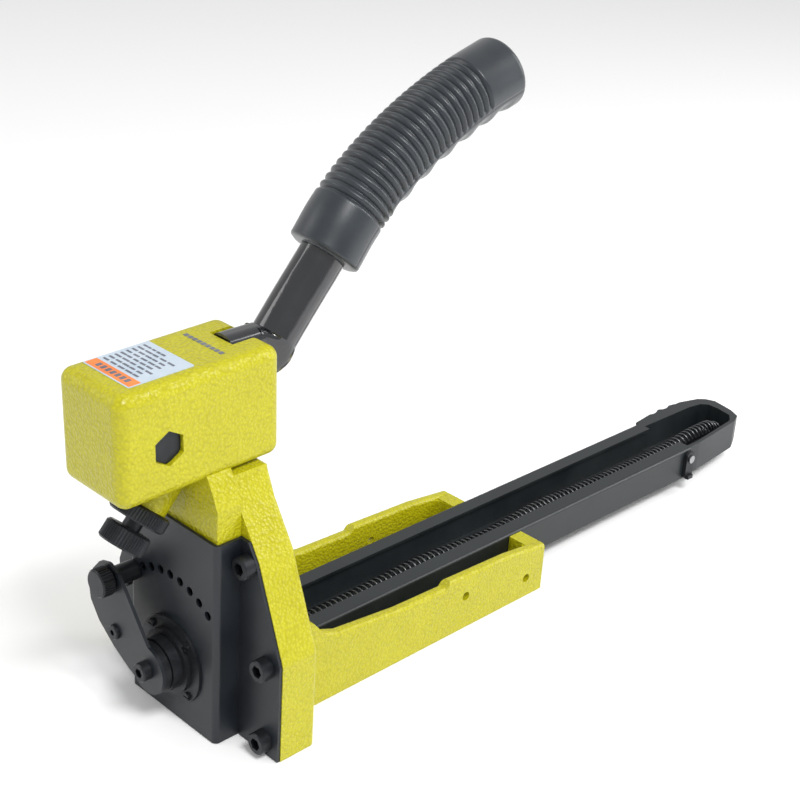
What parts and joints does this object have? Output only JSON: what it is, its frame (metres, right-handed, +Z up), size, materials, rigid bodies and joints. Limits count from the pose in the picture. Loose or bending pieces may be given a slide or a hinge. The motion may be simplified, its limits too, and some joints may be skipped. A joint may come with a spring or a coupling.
{
  "type": "manual carton-closing stapler",
  "caption": "Hand-lever carton-closing stapler with a channel magazine, hinged lever, driver, swinging clinchers and an indexed clinch-depth lever.",
  "frame": {"origin": "centre of the sole plate's lower face, in the joint plane between frame casting and front cover", "axes": "+Z up from the sole, +Y back along the magazine, +X to the right seen from the front cover"},
  "size_m": [0.1122, 0.4531, 0.2753],
  "materials": {
    "yellow_paint": "hammertone enamel on casting",
    "black_sheet": "satin black oxide sheet",
    "black_gloss": "gloss black enamel",
    "black_steel": "black oxide",
    "grey_steel": "ground",
    "spring_steel": "oiled spring steel",
    "grip_rubber": "matte ribbed",
    "label_film": null,
    "bronze": "sintered"
  },
  "bodies": {
    "frame": {"frame_casting": "yellow_paint", "head_housing": "yellow_paint", "front_cover": "black_sheet", "cover_screws": "black_steel", "housing_screws": "black_steel", "label_plate": "label_film", "pivot_bolt": "black_steel", "pivot_nut": "black_steel", "hub_bearing": "black_steel", "hub_screws": "black_steel", "magazine_channel": "black_sheet", "core_rail": "black_sheet", "end_block": "black_sheet", "end_block_screws": "black_steel", "spring_tongue": "grey_steel", "magazine_spring": "spring_steel", "latch_pin": "grey_steel", "return_spring_right": "spring_steel", "return_spring_left": "spring_steel", "guide_rods": "grey_steel", "clincher_pins": "grey_steel", "nose_plate": "grey_steel", "nose_screws": "black_steel", "sole_plate": "grey_steel", "sole_screws": "black_steel"},
    "handle": {"handle_tube": "black_gloss", "handle_grip": "grip_rubber", "drive_pin": "grey_steel", "pivot_bush": "bronze"},
    "carriage": {"driver_carriage": "grey_steel", "driver_blade": "grey_steel", "blade_screws": "black_steel"},
    "clincher_right": {"clincher_right": "grey_steel"},
    "clincher_left": {"clincher_left": "grey_steel"},
    "depth_lever": {"lever_plate": "black_sheet", "hub_shaft": "black_steel", "depth_cam": "grey_steel", "lever_screw": "black_steel", "lever_set_screw": "black_steel", "plunger_sleeve": "black_steel", "plunger_spring": "spring_steel"},
    "plunger": {"plunger_knob": "black_steel", "plunger_pin": "grey_steel"},
    "stop_screw": {"stop_screw": "black_steel", "stop_pad": "grey_steel"},
    "lock_nut": {"lock_nut": "black_steel"},
    "pusher": {"staple_pusher": "grey_steel"},
    "latch": {"magazine_latch": "black_steel"}
  },
  "joints": [
    {"name": "handle_pivot", "type": "hinge", "parent": "frame", "child": "handle", "pos_m": [0, -0.03, 0.1434], "axis": [-1, 0, 0], "range_deg": [0, 50], "stiffness_Nm_per_rad": 3, "springref_deg": -51.57},
    {"name": "driver_slide", "type": "slide", "parent": "frame", "child": "carriage", "axis": [0, 0, -1], "range_m": [0, 0.0246], "deforming": ["return_spring_right", "return_spring_left"]},
    {"name": "clincher_right_swing", "type": "hinge", "parent": "frame", "child": "clincher_right", "pos_m": [0.0235, 0.0018, 0.0215], "axis": [0, 1, 0], "range_deg": [0, 48.1]},
    {"name": "clincher_left_swing", "type": "hinge", "parent": "frame", "child": "clincher_left", "pos_m": [-0.0235, 0.0018, 0.0215], "axis": [0, -1, 0], "range_deg": [0, 48.1]},
    {"name": "depth_lever_turn", "type": "hinge", "parent": "frame", "child": "depth_lever", "pos_m": [0, -0.0267, 0.0287], "axis": [0, 1, 0], "range_deg": [0, 74.4]},
    {"name": "plunger_pull", "type": "slide", "parent": "depth_lever", "child": "plunger", "axis": [0, -1, 0], "range_m": [0, 0.003], "stiffness_N_per_m": 400, "springref_m": -0.002, "deforming": ["plunger_spring"]},
    {"name": "stop_screw_turn", "type": "hinge", "parent": "frame", "child": "stop_screw", "pos_m": [0, -0.0373, 0.0973], "axis": [0, 0.6559, 0.7549], "range_deg": [-180, 180]},
    {"name": "lock_nut_turn", "type": "hinge", "parent": "frame", "child": "lock_nut", "pos_m": [0, -0.0298, 0.1059], "axis": [0, 0.6559, 0.7549], "range_deg": [-180, 180]},
    {"name": "pusher_slide", "type": "slide", "parent": "frame", "child": "pusher", "axis": [0, 1, 0], "range_m": [0, 0.18], "stiffness_N_per_m": 30, "springref_m": -0.1, "deforming": ["magazine_spring"]},
    {"name": "latch_swing", "type": "hinge", "parent": "frame", "child": "latch", "pos_m": [0.0207, 0.334, 0.021], "axis": [1, 0, 0], "range_deg": [0, 90]}
  ],
  "couplings": [
    {"joint": "driver_slide", "follows": "handle_pivot", "m_per_rad": 0.028075},
    {"joint": "clincher_right_swing", "follows": "handle_pivot", "ratio": 0.96},
    {"joint": "clincher_left_swing", "follows": "handle_pivot", "ratio": 0.96}
  ]
}
